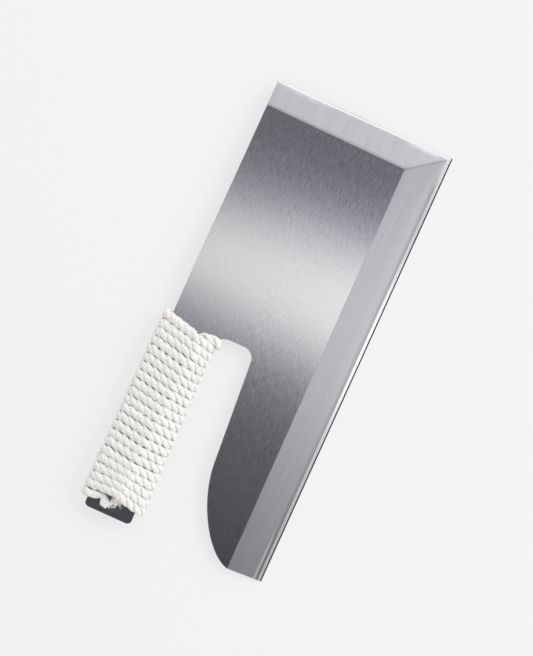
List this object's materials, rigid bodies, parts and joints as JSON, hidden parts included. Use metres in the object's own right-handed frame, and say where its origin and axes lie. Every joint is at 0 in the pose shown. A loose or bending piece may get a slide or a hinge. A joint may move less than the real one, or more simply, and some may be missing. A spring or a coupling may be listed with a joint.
{
  "type": "soba knife",
  "caption": "Flat noodle-cutting knife: a square-tipped steel plate with a straight bevelled edge that runs back under a cord-wound tang, with a finger slot between.",
  "frame": {"origin": "middle of the knife's box in plan, at its lowest level, the back of the cord", "axes": "+X from the heel to the tip along the edge, +Y from the cutting edge to the spine, +Z out of the bevelled front face"},
  "size_m": [0.2412, 0.1038, 0.0149],
  "materials": {
    "blade_steel": "fine satin hairlines along the blade, ground bevels brighter",
    "cotton_cord": "matt white laid cotton"
  },
  "bodies": {
    "root": {"blade": "blade_steel", "handle_cord": "cotton_cord"}
  },
  "joints": []
}
